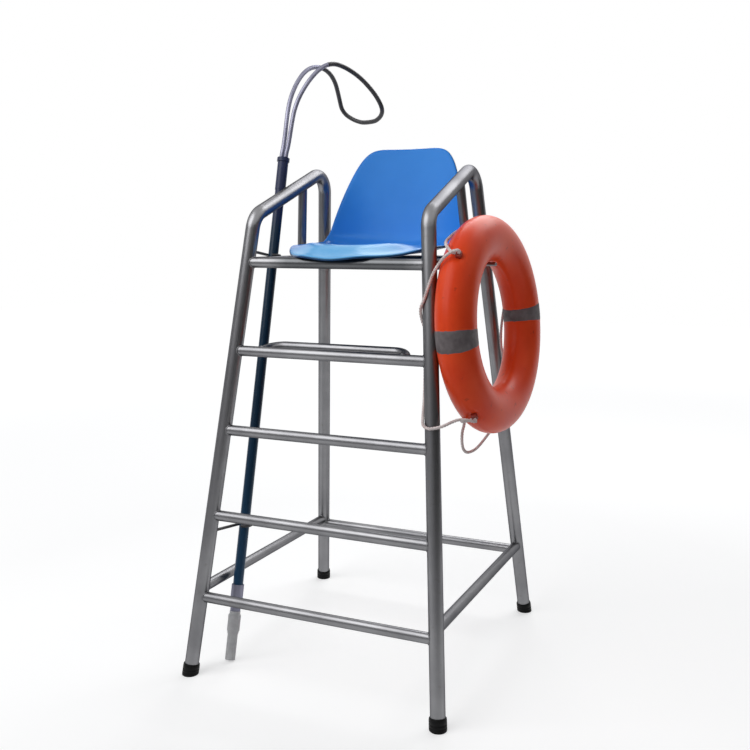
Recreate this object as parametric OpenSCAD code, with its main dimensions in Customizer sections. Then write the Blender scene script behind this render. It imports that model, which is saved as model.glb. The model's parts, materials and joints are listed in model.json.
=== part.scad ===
// Lifeguard chair: a tall welded tube frame whose front is a ladder of bars, with a one-piece
// moulded seat on top, a ring buoy hung outside the right side and a rescue crook leaned
// against the left side.
// The front, with the ladder, faces -Y. +X is the side that carries the ring buoy. +Z is up.
// The origin is the middle of the whole object's outline, on the floor.

/* [Side frames] */
// Leg centre distance across the chair at the floor
base_width = 960; // [700:1:1200]
// Leg centre distance across the chair at the reference height
top_width = 691; // [450:1:900]
// Height at which the top width and the two leg leans are measured
ref_height = 1500; // [1200:10:1800]
// Leg centre distance front to back at the floor
base_depth = 1062; // [800:1:1300]
// How far the front leg leans back by the reference height
front_lean = 239; // [100:1:350]
// How far the rear leg leans forward by the reference height
rear_lean = 227; // [100:1:350]
// Height where the armrest line meets the front leg line
arm_front_z = 1648; // [1560:1:1750]
// Height where the armrest line meets the rear leg line
arm_rear_z = 1842; // [1650:1:1950]
// Outer diameter of the leg and armrest tube
leg_d = 50.8; // [42:0.1:60]
// Radius of the tube bends at the two ends of the armrest
bend_r = 76; // [70:1:110]
// Outer diameter of the ladder bars and rails
bar_d = 38; // [30:0.1:45]
// Outer diameter of the upright strut under the armrest
strut_d = 34; // [25:0.1:40]
// Position of the strut's top along the depth of the chair
strut_top_y = 76; // [40:1:110]
// Position of the strut's foot along the depth of the chair
strut_foot_y = 108; // [60:1:130]

/* [Ladder and rails] */
// Height of the lowest ladder bar
rung_1_z = 284; // [240:1:330]
// Height of the second ladder bar
rung_2_z = 580; // [540:1:620]
// Height of the third ladder bar
rung_3_z = 887; // [850:1:920]
// Height of the fourth ladder bar, which carries the footrest
rung_4_z = 1171; // [1140:1:1200]
// Height of the bar under the front of the seat, and of the seat rails
seat_bar_z = 1484; // [1460:1:1510]
// Height of the lower side rail at the front leg
side_rail_front_z = 314; // [290:1:360]
// Height of the lower side rail at the rear leg
side_rail_rear_z = 302; // [280:1:360]
// Height of the lower bar between the rear legs
rear_rail_z = 280; // [240:1:286]
// Position of the cross bar under the back half of the seat
cross_bar_y = 150; // [120:1:170]
// How far the footrest bar stands behind the fourth ladder bar
footrest_reach = 85; // [60:1:120]
// How far the footrest bar stands above the fourth ladder bar
footrest_rise = 14; // [0:1:30]
// Half of the footrest's overall width, to the middle of its ends
footrest_half = 270; // [200:1:300]
// Radius of the footrest's two corners
footrest_bend_r = 62; // [45:1:80]
// Outer diameter of the footrest tube
footrest_d = 34; // [25:0.1:38]

/* [Feet] */
// Outer diameter of the rubber foot caps
foot_d = 60; // [56:0.5:75]
// Length of the foot caps along the leg
foot_h = 41; // [35:1:70]
// Distance along the leg from the floor to the end of the tube
sole = 13; // [11:0.5:20]

/* [Seat] */
// Front edge of the seat
seat_front_y = -345; // [-350:1:-343]
// Upper face of the flat pan above the seat bar's centre line
seat_pan_rise = 25.4; // [25.3:0.1:25.5]
// Widest half width of the seat
seat_half_w = 297; // [260:1:300]
// How much narrower each side is at the front edge
front_taper = 80; // [60:1:90]
// Length of the flat pan from the front edge to where it turns up
seat_pan_len = 531; // [500:1:540]
// Radius in which the pan turns up into the back
seat_turn_r = 110; // [80:1:130]
// Lean of the back from upright
seat_lean = 15.6; // [10:0.1:25]
// Length of the straight back above the turn
seat_back_len = 349; // [300:1:380]
// Thickness of the moulded shell
seat_t = 6; // [4:0.5:8]
// Depth of the turned-down rim
seat_rim = 12; // [10:1:16]
// How far the front edge rises on each side of its middle
lip_rise = 9.5; // [9.5:0.5:16]
// How far the front of the pan swells up behind its edge
crest_h = 37.5; // [25:0.5:42]
// How far the pan's side edges curl up
pan_curl = 38; // [20:1:50]
// How far the back's side edges curl forward at the bottom
back_curl = 60; // [10:1:70]
// How far the back's side edges curl forward at the top
top_curl = 28; // [5:1:40]
// How much narrower each side of the back is at the very top
back_taper = 86; // [0:1:120]

/* [Ring buoy] */
// Outer radius of the ring
ring_r = 380; // [340:1:385]
// Radius of the ring's hole
ring_hole_r = 219; // [200:1:235]
// Half thickness of the ring from face to face
ring_half_t = 66; // [50:1:68]
// Place of the hook and the ring's middle along the depth
ring_y = -42; // [-80:1:0]
// How far the ring's rear end is turned away from the chair, in degrees
ring_turn = 5.2; // [0:0.1:10]
// How far the ring is rolled about its own axis, in degrees
ring_roll = 4; // [-30:1:30]
// Width of each reflective band along the ring, in degrees
band_angle = 12; // [6:1:20]
// Diameter of the peg that the ring hangs on
ring_peg_d = 14; // [10:0.5:18]
// Diameter of the ring's grab rope
rope_d = 11; // [8:0.5:12]

/* [Rescue pole] */
// How far inside the left legs' line the pole stands at the floor
pole_foot_in = 75; // [60:1:90]
// How far behind the front legs' feet the pole stands at the floor
pole_foot_back = 146; // [100:1:200]
// Where the pole crosses the left seat rail, along the depth
pole_rest_y = -55; // [-100:1:-20]
// Length of the pole's tube from the collar to the sleeve
pole_tube_len = 1508; // [1250:1:1600]
// Outer diameter of the pole tube
pole_d = 38; // [30:0.5:38.4]
// Height at which the lower hook leaves the front leg
lower_hook_z = 519; // [350:1:560]
// Height at which the upper hook leaves the front leg
upper_hook_z = 1526; // [1515:1:1545]
// Diameter of the crook's round bar
crook_d = 18; // [12:0.5:18]

/* [Hidden] */
$fn = 64;
weld_gap = 0.2;
fit_gap = 0.3;
ring_peg_seat = 0.7;
band_t = 1.2;
ring_leg_gap = band_t + fit_gap;
cut = 1;
splay_rate = (base_width - top_width) / 2 / ref_height;
splay = atan(splay_rate);
front_rate = front_lean / ref_height;
rear_rate = rear_lean / ref_height;
half_w = base_width / 2;
half_d = base_depth / 2;
// centre line of a leg at height z: side is -1 or 1, rear is 0 or 1
function leg_x(z) = half_w - splay_rate * z;
function front_y(z) = front_rate * z - half_d;
function rear_y(z) = half_d - rear_rate * z;
function front_pt(side, z) = [side * leg_x(z), front_y(z), z];
function rear_pt(side, z) = [side * leg_x(z), rear_y(z), z];
function arm_z(y) = arm_front_z + (y - front_y(arm_front_z))
    / (rear_y(arm_rear_z) - front_y(arm_front_z)) * (arm_rear_z - arm_front_z);
function unit(v) = v / norm(v);

// the ring's overall reach sets where the middle of the outline is
ring_n = [cos(ring_turn) * cos(splay), -sin(ring_turn) * cos(splay), sin(splay)];
ring_h = [sin(ring_turn), cos(ring_turn), 0];
ring_w = cross(ring_n, ring_h);
ring_mid_r = (ring_r + ring_hole_r) / 2;
ring_half_r = (ring_r - ring_hole_r) / 2;
// the ring hangs on its peg, and its front lies against the front leg
ring_peg_z = seat_bar_z - 3;
ring_z = ring_peg_z + ring_peg_d / 2 + ring_peg_seat - ring_hole_r * ring_w[2];
ring_rest = front_pt(1, ring_z);
ring_x = (leg_d / 2 + ring_half_t + ring_leg_gap + ring_rest * ring_n - ring_y * ring_n[1]
    - ring_z * ring_n[2]) / ring_n[0];
ring_c = [ring_x, ring_y, ring_z];
ring_flat = sqrt(1 - ring_n[0] * ring_n[0]);
ring_reach = ring_x + ring_mid_r * ring_flat
    + norm([ring_half_r * ring_flat, ring_half_t * ring_n[0]]);
foot_reach = half_w + foot_d / 2 / cos(splay);
origin_x = (ring_reach - foot_reach) / 2;

// side frame in its own leaning plane: first number along the depth, second up the plane
function in_plane(y, z) = [y, z / cos(splay)];
foot_f = in_plane(-half_d, 0);
foot_r = in_plane(half_d, 0);
knee_f = in_plane(front_y(arm_front_z), arm_front_z);
knee_r = in_plane(rear_y(arm_rear_z), arm_rear_z);
dir_f = unit(knee_f - foot_f);
dir_a = unit(knee_r - knee_f);
dir_r = unit(foot_r - knee_r);
turn_f = acos(dir_f * dir_a);
turn_r = acos(dir_a * dir_r);
back_f = bend_r * tan(turn_f / 2);
back_r = bend_r * tan(turn_r / 2);
bend_f_in = knee_f - back_f * dir_f;
bend_f_out = knee_f + back_f * dir_a;
bend_r_in = knee_r - back_r * dir_a;
bend_r_out = knee_r + back_r * dir_r;
function bearing(v) = atan2(v[1], v[0]);

// rescue pole: the spot on the floor under its lower end, and where it rests on the seat rail
pole_foot = [pole_foot_in - half_w, pole_foot_back - half_d, 0];
pole_rest = [-leg_x(seat_bar_z) - (bar_d + pole_d) / 2 - weld_gap, pole_rest_y, seat_bar_z];
pole_dir = unit(pole_rest - pole_foot);
pole_yaw = atan2(pole_dir[1], pole_dir[0]);
pole_tilt = acos(pole_dir[2]);
function pole_at(z) = pole_foot + pole_dir * (z / pole_dir[2]);
pole_end_z = 6;
tip_h = 95;
grip_h = 82;
collar_h = 97;
sleeve_h = 110;
lip_h = 12;
tip_top_z = pole_end_z + tip_h;
grip_top_z = tip_top_z + grip_h;
collar_top_z = grip_top_z + collar_h;
tube_top_z = collar_top_z + pole_tube_len * pole_dir[2];
sleeve_top_z = tube_top_z + sleeve_h;
lip_top_z = sleeve_top_z + lip_h;
tip_d = 38;
grip_d = 47;
collar_d = 46;
sleeve_d = 41;
lip_d = 48;
hook_wire = 11;
hook_curl = 265;
hook_drop = 21;

// crook: middle line in an upright plane turned from the X axis, counted from the top of the
// sleeve, as [along the plane, height, half of the spread between its two sides]
crook_turn = 69;
crook_route = [
    [0, 0.3, 13], [4, 20, 13], [12, 46, 14], [22, 91, 15], [31, 137, 17], [42, 183, 20],
    [61, 231, 26], [89, 277, 33], [119, 314, 39], [151, 343, 44], [187, 363, 47], [227, 371, 49],
    [267, 366, 52], [307, 350, 62], [343, 325, 77], [372, 294, 93], [395, 263, 106],
    [413, 234, 113], [431, 211, 107], [446, 194, 88], [456, 181, 60], [461, 174, 28],
];

// grab rope: its four runs between the clips. A point with a fourth number is counted on the
// ring instead, as [angle along the ring, angle round its section, distance off it, 0].
rope_sides = 8;
clip_size = [20, 24, 9];
clip_front_tilt = 18;
clip_rear_tilt = -12;
rope_front_route = [
    [452, -345, 1532], [434, -346, 1524], [414, -345, 1508], [394, -345, 1483], [376, -344, 1452],
    [362, -343, 1415], [349, -343, 1378], [333, -335, 1342], [331, -320, 1308], [338, -310, 1272],
    [342, -316, 1220], [347, -327, 1150], [351, -340, 1080], [354, -352, 1034], [359, -374, 994],
    [370, -400, 970], [392, -412, 962], [414, -406, 964], [436, -392, 970], [456, -372, 980],
    [474, -350, 986], [494, -332, 984],
];
rope_bottom_route = [
    [-127, -25, 9, 0], [-121, -50, 10, 0], [436, -180, 940], [436, -198, 912], [436, -201, 882],
    [437, -188, 852], [438, -150, 832], [440, -92, 825], [442, -40, 828], [444, 20, 840],
    [448, 80, 858], [458, 135, 882], [476, 180, 914], [-51, -18, 12, 0],
];
rope_rear_route = [
    [-39, -40, 10, 0], [436, 300, 1070], [434, 287, 1118], [433, 264, 1155], [433, 255, 1192],
    [433, 257, 1225], [433, 268, 1260], [434, 286, 1310], [434, 290, 1370], [433, 275, 1430],
    [38, -48, 12, 0],
];
rope_top_route = [
    [51, -40, 10, 0], [58, -55, 10, 0], [68, -60, 10, 0], [80, -62, 10, 0], [92, -62, 10, 0],
    [104, -62, 10, 0], [116, -58, 10, 0], [126, -45, 10, 0], [134, -20, 9, 0],
];

// which piece to draw: "all", or one name from the list

steel = [0.72, 0.73, 0.74];
black = [0.07, 0.07, 0.08];
blue = [0.16, 0.47, 0.85];
orange = [0.82, 0.20, 0.09];
tape = [0.42, 0.42, 0.44];
navy = [0.08, 0.16, 0.32];
alloy = [0.60, 0.61, 0.65];
grey = [0.55, 0.55, 0.56];

// a round bar from one point to another
module rod(a, b, d) {
    v = b - a;
    translate(a)
        rotate([0, acos(v[2] / norm(v)), atan2(v[1], v[0])])
            cylinder(h = norm(v), d = d);
}

// the line of a leg, run past both ends, used to cope what meets it
module leg_space(side, rear, d) {
    low = rear == 1 ? rear_pt(side, -foot_h) : front_pt(side, -foot_h);
    high = rear == 1 ? rear_pt(side, arm_rear_z) : front_pt(side, arm_rear_z);
    rod(low, high, d);
}

// puts a shape drawn in the side frame's plane onto one side of the chair
module on_side(side) {
    translate([side * half_w, 0, 0])
        rotate([0, -side * splay, 0])
            children();
}

// a straight tube in the side frame's plane
module plane_tube(a, b) {
    rod([0, a[0], a[1]], [0, b[0], b[1]], leg_d);
}

// a bend that starts at the origin along -X and curls towards -Y
module tube_bend(sweep) {
    translate([0, -bend_r, 0])
        rotate([0, 0, 90])
            rotate_extrude(angle = sweep, $fn = 128)
                translate([bend_r, 0])
                    circle(d = leg_d);
}

module front_leg(side) {
    color(steel)
        on_side(side)
            plane_tube(foot_f + sole * dir_f, bend_f_in);
}

module rear_leg(side) {
    color(steel)
        on_side(side)
            plane_tube(foot_r - sole * dir_r, bend_r_out);
}

// the sloping armrest with the bends at its two ends, drawn along X and then put in place
module armrest(side) {
    run = norm(bend_r_in - bend_f_out);
    color(steel)
        on_side(side)
            rotate([90, 0, 90])
                translate([bend_f_out[0], bend_f_out[1], 0])
                    rotate([0, 0, bearing(dir_a)]) {
                        rotate([0, 90, 0])
                            cylinder(h = run, d = leg_d);
                        tube_bend(turn_f);
                        translate([run, 0, 0])
                            mirror([1, 0, 0])
                                tube_bend(turn_r);
                    }
}

// a bar across the chair, coped to the two legs it runs between
module cross_rung(z, rear) {
    a = rear == 1 ? rear_pt(-1, z) : front_pt(-1, z);
    b = rear == 1 ? rear_pt(1, z) : front_pt(1, z);
    color(steel)
        difference() {
            rod(a, b, bar_d);
            leg_space(-1, rear, leg_d + 2 * weld_gap);
            leg_space(1, rear, leg_d + 2 * weld_gap);
        }
}

// a rail front to back along one side, coped to the two legs it runs between
module side_rail(side, z_front, z_rear) {
    color(steel)
        difference() {
            rod(front_pt(side, z_front), rear_pt(side, z_rear), bar_d);
            leg_space(side, 0, leg_d + 2 * weld_gap);
            leg_space(side, 1, leg_d + 2 * weld_gap);
        }
}

// the seat rail stops short of the two cross bars that meet the same legs
module seat_rail(side) {
    difference() {
        side_rail(side, seat_bar_z, seat_bar_z);
        for (p = [front_pt(-1, seat_bar_z), rear_pt(-1, seat_bar_z)])
            rod(p, [-p[0], p[1], p[2]], bar_d + 2 * weld_gap);
    }
}

// the cross bar under the back half of the seat, coped to the two seat rails
module cross_bar() {
    x = leg_x(seat_bar_z);
    color(steel)
        difference() {
            rod([-x, cross_bar_y, seat_bar_z], [x, cross_bar_y, seat_bar_z], bar_d);
            for (side = [-1, 1])
                rod([side * x, cross_bar_y - 2 * bar_d, seat_bar_z],
                    [side * x, cross_bar_y + 2 * bar_d, seat_bar_z], bar_d + 2 * weld_gap);
        }
}

// the strut from the seat rail up to the armrest, coped to both
module arm_strut(side) {
    top_z = arm_z(strut_top_y);
    x_low = leg_x(seat_bar_z);
    color(steel)
        difference() {
            rod([side * x_low, strut_foot_y, seat_bar_z],
                [side * leg_x(top_z), strut_top_y, top_z], strut_d);
            rod([side * x_low, -half_d, seat_bar_z], [side * x_low, half_d, seat_bar_z],
                bar_d + 2 * weld_gap);
            on_side(side)
                rod([0, knee_f[0], knee_f[1]], [0, knee_r[0], knee_r[1]], leg_d + 2 * weld_gap);
        }
}

// the footrest: a bar behind the fourth ladder bar whose two ends turn forward and down to it
module footrest() {
    y0 = front_y(rung_4_z);
    lean = atan2(footrest_rise, footrest_reach);
    run = norm([footrest_rise, footrest_reach]);
    straight = footrest_half - footrest_bend_r;
    color(steel)
        difference() {
            translate([0, y0, rung_4_z])
                rotate([lean, 0, 0]) {
                    rod([-straight, run, 0], [straight, run, 0], footrest_d);
                    for (side = [-1, 1]) {
                        translate([side * straight, run - footrest_bend_r, 0])
                            rotate([0, 0, side == 1 ? 0 : 90])
                                rotate_extrude(angle = 90, $fn = 96)
                                    translate([footrest_bend_r, 0])
                                        circle(d = footrest_d);
                        rod([side * footrest_half, 0, 0],
                            [side * footrest_half, run - footrest_bend_r, 0], footrest_d);
                    }
                }
            rod([-half_w, y0, rung_4_z], [half_w, y0, rung_4_z], bar_d + 2 * weld_gap);
        }
}

// a rubber cap on a leg's end, cut level at the floor
module foot(side, rear) {
    start = rear == 1 ? foot_r : foot_f;
    way = rear == 1 ? -dir_r : dir_f;
    low = start - foot_h * way;
    high = start + foot_h * way;
    seat_end = start + sole * way;
    past = high + cut * way;
    color(black)
        difference() {
            on_side(side)
                rod([0, low[0], low[1]], [0, high[0], high[1]], foot_d);
            on_side(side)
                rod([0, seat_end[0], seat_end[1]], [0, past[0], past[1]], leg_d + 2 * weld_gap);
            translate([-base_width, -base_depth, -2 * foot_h])
                cube([2 * base_width, 2 * base_depth, 2 * foot_h]);
        }
}

// ---- seat shell ----
seat_top_z = seat_bar_z + seat_pan_rise;
seat_turn = 90 - seat_lean;
seat_arc = seat_turn_r * seat_turn * PI / 180;
seat_arc_y = seat_front_y + seat_pan_len;
seat_len = seat_pan_len + seat_arc + seat_back_len;
// point and upward normal of the seat's middle line at a distance q from the front edge
function seat_line(q) = q < seat_pan_len ? [seat_front_y + q, seat_top_z]
    : q < seat_pan_len + seat_arc
        ? let (t = (q - seat_pan_len) / seat_arc * seat_turn)
            [seat_arc_y + seat_turn_r * sin(t), seat_top_z + seat_turn_r * (1 - cos(t))]
        : let (r = q - seat_pan_len - seat_arc)
            [seat_arc_y + seat_turn_r * sin(seat_turn) + r * cos(seat_turn),
             seat_top_z + seat_turn_r * (1 - cos(seat_turn)) + r * sin(seat_turn)];
function seat_up(q) = let (t = q < seat_pan_len ? 0
        : min(1, (q - seat_pan_len) / seat_arc) * seat_turn)
    [-sin(t), cos(t)];
function ease(t) = let (c = min(1, max(0, t))) c * c * (3 - 2 * c);
// how far the edges curl towards the sitter at a distance q from the front edge
function seat_curl(q) = q < seat_pan_len
    ? pan_curl * ease(q / (curl_start * seat_pan_len)) + (back_curl - pan_curl)
        * ease(q / seat_pan_len - 0.5)
    : back_curl + (top_curl - back_curl) * ease((q - seat_pan_len - seat_arc) / seat_back_len)
        - (back_curl - pan_curl) / 2 * (1 - ease((q - seat_pan_len) / seat_arc));
seat_mid_q = 336;
// the rim's lower edge hangs this far below the pan, and rises on each side of its middle to
// pass over the bar
lip_hang = 15.2;
lip_mid = 0.6;
lip_reach = 158;
// share of the way in from the edge over which the front swells up, and where it falls again
crest_width = 0.36;
crest_at = 160;
crest_fade = 220;
// share of the pan's length over which its side edges curl up, and how sharply they do
curl_start = 0.55;
curl_power = 2;
// how far along the sheet the back starts to narrow, and how evenly it does
taper_from = 593;
taper_power = 1.06;
seat_steps = 96;
front_power = 2.76;
back_power = 6.8;
function sgn_pow(v, n) = sign(v) * pow(abs(v), n);
// half the sheet's full width at a distance q from the front edge
function seat_side(q) = seat_half_w
    - back_taper * pow(max(0, (q - taper_from) / (seat_len - taper_from)), taper_power)
    - front_taper * (1 - ease(q / seat_mid_q));
// outline of the flattened sheet, [across, along], at an angle a, drawn in by an inset
function seat_edge(a, inset) = let (
        f = sin(a) < 0,
        n = f ? front_power : back_power,
        len = (f ? seat_mid_q : seat_len - seat_mid_q) - inset,
        c = sgn_pow(cos(a), 2 / n),
        s = sgn_pow(sin(a), 2 / n),
        q = seat_mid_q + len * s)
    [(seat_side(q) - inset) * c, q];
// a point of the flattened sheet put in place, dropped away from the sitter
function seat_point(p, drop) = let (
        base = seat_line(p[1]),
        up = seat_up(p[1]),
        out = min(1.05, abs(p[0]) / seat_side(p[1])),
        ahead = max(0, 1 - p[1] / seat_mid_q),
        near = pow(pow(out, front_power) + pow(ahead, front_power), 1 / front_power),
        lip = (seat_rim - lip_hang + lip_rise * ease(out / lip_mid)) * (1 - ease(p[1] / lip_reach))
            + crest_h * ease((1 - near) / crest_width)
                * (1 - ease((p[1] - crest_at) / crest_fade)),
        lift = seat_curl(p[1]) * pow(out, curl_power) + lip - drop)
    [p[0], base[0] + up[0] * lift, base[1] + up[1] * lift];
rim_w = 22;
seat_fill = [0.14, 0.28, 0.38, 0.48, 0.58, 0.68, 0.78, 0.87, 0.94, 1];
rim_top = [[14, 0.2], [8, 1.1], [3.5, 3.2], [0.8, 6.4], [0, 9.2], [0, seat_rim]];
rim_under = [[4.2, seat_rim], [5.6, 9.2], [8, 7.4], [11, 6.6], [15, 6.2]];
mid_sheet = [0, seat_mid_q];
// evenly spread angles, each with its row of points from the middle of the top round the rim
seat_top_rows = concat(
    [for (k = seat_fill) [k, rim_w, 0]],
    [for (r = rim_top) [1, r[0], r[1]]],
    [for (r = rim_under) [1, r[0], r[1]]],
    [for (i = [len(seat_fill) - 1:-1:0]) [seat_fill[i], rim_w, seat_t]]);
function seat_row(r) = [for (i = [0:seat_steps - 1]) let (
        a = 360 * i / seat_steps,
        e = seat_edge(a, r[1]),
        p = mid_sheet + r[0] * (e - mid_sheet))
    seat_point(p, r[2])];
seat_points = concat(
    [seat_point(mid_sheet, 0)],
    [for (r = seat_top_rows) each seat_row(r)],
    [seat_point(mid_sheet, seat_t)]);
row_count = len(seat_top_rows);
last_point = 1 + row_count * seat_steps;
seat_faces = concat(
    [for (i = [0:seat_steps - 1]) [0, 1 + (i + 1) % seat_steps, 1 + i]],
    [for (k = [0:row_count - 2], i = [0:seat_steps - 1]) let (
            j = (i + 1) % seat_steps,
            a = 1 + k * seat_steps,
            b = a + seat_steps)
        each [[a + i, a + j, b + j], [a + i, b + j, b + i]]],
    [for (i = [0:seat_steps - 1])
        [last_point, last_point - seat_steps + i, last_point - seat_steps + (i + 1) % seat_steps]]);

module seat_shell() {
    color(blue)
        polyhedron(points = seat_points, faces = seat_faces, convexity = 6);
}

// ---- ring buoy ----
// puts a shape drawn flat about the Z axis at the ring's place, first angle towards the rear
module at_ring() {
    multmatrix([
        [ring_h[0], ring_w[0], ring_n[0], ring_c[0]],
        [ring_h[1], ring_w[1], ring_n[1], ring_c[1]],
        [ring_h[2], ring_w[2], ring_n[2], ring_c[2]],
        [0, 0, 0, 1]])
        children();
}

// the oval section of the ring, grown outwards by a wall
module ring_section(grow) {
    polygon([for (i = [0:47]) let (a = 7.5 * i)
        [ring_mid_r + (ring_half_r + grow) * cos(a), (ring_half_t + grow) * sin(a)]]);
}

module ring_body() {
    color(orange)
        at_ring()
            rotate_extrude($fn = 144)
                ring_section(0);
}

// a reflective band round the ring's section, centred on an angle
module ring_band(a) {
    color(tape)
        at_ring()
            rotate([0, 0, a + ring_roll - band_angle / 2])
                rotate_extrude(angle = band_angle, $fn = 144)
                    difference() {
                        ring_section(band_t);
                        ring_section(weld_gap);
                    }
}

// places on the ring: an angle along it and an angle round its section
function ring_e(a) = cos(a) * ring_h + sin(a) * ring_w;
function ring_along(a) = cos(a) * ring_w - sin(a) * ring_h;
function ring_out(a, s) = unit(cos(s) / ring_half_r * ring_e(a) + sin(s) / ring_half_t * ring_n);
function ring_across(a, s) = cross(ring_out(a, s), ring_along(a));
function on_ring(a, s, off) = ring_c + (ring_mid_r + ring_half_r * cos(s)) * ring_e(a)
    + ring_half_t * sin(s) * ring_n + off * ring_out(a, s);

// clip numbers: 0 front upper, 1 rear upper, 2 rear lower, 3 front lower
clip_angle = [135, 45, -45, -135];
clip_tilt = [clip_front_tilt, clip_rear_tilt, clip_rear_tilt, clip_front_tilt];
function clip_a(k) = clip_angle[k] + ring_roll;
// a point above a clip's outer face, and one beside its face that looks towards the chair
function clip_top(k, off) = on_ring(clip_a(k), clip_tilt[k], clip_size[2] + off);
function clip_side(k, off) = on_ring(clip_a(k), clip_tilt[k], clip_size[2] / 2 + rope_lift)
    - (clip_size[0] / 2 + off) * ring_across(clip_a(k), clip_tilt[k]);
// a point past a clip's end, before it or after it along the ring
function clip_end(k, way, off) = on_ring(clip_a(k), clip_tilt[k], clip_size[2] / 2 + rope_lift)
    + way * (clip_size[1] / 2 + off) * ring_along(clip_a(k));
rope_lift = 3;
rope_meet = 0.2;
rope_stub = 12;

// a small block on the ring's rim that the grab rope is made fast in
module ring_clip(k) {
    a = clip_a(k);
    o = ring_out(a, clip_tilt[k]);
    t = ring_along(a);
    c = ring_across(a, clip_tilt[k]);
    p = on_ring(a, clip_tilt[k], 0);
    span = 2 * clip_size[1] / ring_r * 180 / PI;
    color(orange)
        difference() {
            multmatrix([
                [c[0], t[0], o[0], p[0]],
                [c[1], t[1], o[1], p[1]],
                [c[2], t[2], o[2], p[2]],
                [0, 0, 0, 1]])
                translate([-clip_size[0] / 2, -clip_size[1] / 2, -clip_size[2]])
                    cube([clip_size[0], clip_size[1], 2 * clip_size[2]]);
            at_ring()
                rotate([0, 0, a - span / 2])
                    rotate_extrude(angle = span, $fn = 144)
                        ring_section(weld_gap);
        }
}

function rope_point(p) = len(p) == 4 ? on_ring(p[0], p[1], p[2]) : p;
module rope(route) {
    color(tape)
        sweep([for (p = route) rope_point(p)], rope_d, rope_sides, [0.6, 0.1, 0.79]);
}

module rope_front() {
    rope(concat([clip_top(0, rope_meet), clip_top(0, rope_stub)], rope_front_route,
        [clip_top(3, rope_stub), clip_top(3, rope_meet)]));
}

module rope_bottom() {
    rope(concat([clip_side(3, rope_meet), clip_side(3, rope_stub)], rope_bottom_route,
        [clip_end(2, -1, rope_stub), clip_end(2, -1, rope_meet)]));
}

module rope_rear() {
    rope(concat([clip_side(2, rope_meet), clip_side(2, rope_stub)], rope_rear_route,
        [clip_end(1, -1, rope_stub), clip_end(1, -1, rope_meet)]));
}

module rope_top() {
    rope(concat([clip_side(1, rope_meet), clip_side(1, rope_stub)], rope_top_route,
        [clip_side(0, rope_stub), clip_side(0, rope_meet)]));
}

// the peg the ring hangs on, from the seat rail through the ring's hole, with a round end
module ring_hook() {
    x0 = leg_x(seat_bar_z);
    x1 = ring_x + ring_peg_past;
    color(steel)
        difference() {
            union() {
                rod([x0, ring_y, ring_peg_z], [x1, ring_y, ring_peg_z], ring_peg_d);
                translate([x1, ring_y, ring_peg_z])
                    sphere(d = ring_peg_d);
            }
            rod([x0, -half_d, seat_bar_z], [x0, half_d, seat_bar_z], bar_d + 2 * weld_gap);
        }
}
ring_peg_past = 8;

// ---- rescue pole ----
// a length of the pole between two heights
module pole_part(z0, z1, d) {
    rod(pole_at(z0), pole_at(z1), d);
}

module pole_tip() {
    color(grey)
        pole_part(pole_end_z, tip_top_z, tip_d);
}

// the swollen hand grip with a dark ring at its upper end
module pole_grip() {
    color(grey)
        union() {
            pole_part(tip_top_z, tip_top_z + 12, tip_d + 4);
            pole_part(tip_top_z + 10, grip_top_z - 14, grip_d);
            pole_part(grip_top_z - 16, grip_top_z, tip_d + 2);
        }
}

module pole_collar() {
    color(alloy)
        union() {
            pole_part(grip_top_z, collar_top_z - 50, tip_d);
            pole_part(collar_top_z - 52, collar_top_z, collar_d);
        }
}

module pole_tube() {
    color(navy)
        pole_part(collar_top_z, tube_top_z, pole_d);
}

module pole_sleeve() {
    color(navy)
        union() {
            pole_part(tube_top_z, sleeve_top_z, sleeve_d);
            pole_part(sleeve_top_z - 2, lip_top_z, lip_d);
        }
}

// tube swept along a closed or open route of points
function tangent(pts, i) = unit(pts[min(i + 1, len(pts) - 1)] - pts[max(i - 1, 0)]);
function side_way(t, ref) = unit(cross(t, ref));
function sweep_ring(pts, i, r, sides, ref) = let (
        t = tangent(pts, i),
        u = side_way(t, ref),
        v = cross(t, u))
    [for (k = [0:sides - 1]) let (a = 360 * k / sides)
        pts[i] + r * (cos(a) * u + sin(a) * v)];
module sweep(pts, d, sides, ref) {
    n = len(pts);
    points = [for (i = [0:n - 1]) each sweep_ring(pts, i, d / 2, sides, ref)];
    ends = [[for (k = [0:sides - 1]) k],
        [for (k = [sides - 1:-1:0]) (n - 1) * sides + k]];
    walls = [for (i = [0:n - 2], k = [0:sides - 1]) let (
            j = (k + 1) % sides,
            a = i * sides,
            b = a + sides)
        each [[a + k, b + k, b + j], [a + k, b + j, a + j]]];
    polyhedron(points = points, faces = concat(ends, walls), convexity = 8);
}

crook_b = [cos(crook_turn), sin(crook_turn), 0];
crook_p = [sin(crook_turn), -cos(crook_turn), 0];
crook_base = pole_at(lip_top_z);
function crook_point(c, side) = crook_base + c[0] * crook_b + side * c[2] * crook_p
    + [0, 0, c[1]];
crook_n = len(crook_route);
crook_path = concat(
    [for (i = [0:crook_n - 1]) crook_point(crook_route[i], -1)],
    [for (i = [crook_n - 1:-1:0]) crook_point(crook_route[i], 1)]);
module pole_crook() {
    color(alloy)
        sweep(crook_path, crook_d, 12, crook_p);
}

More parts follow.
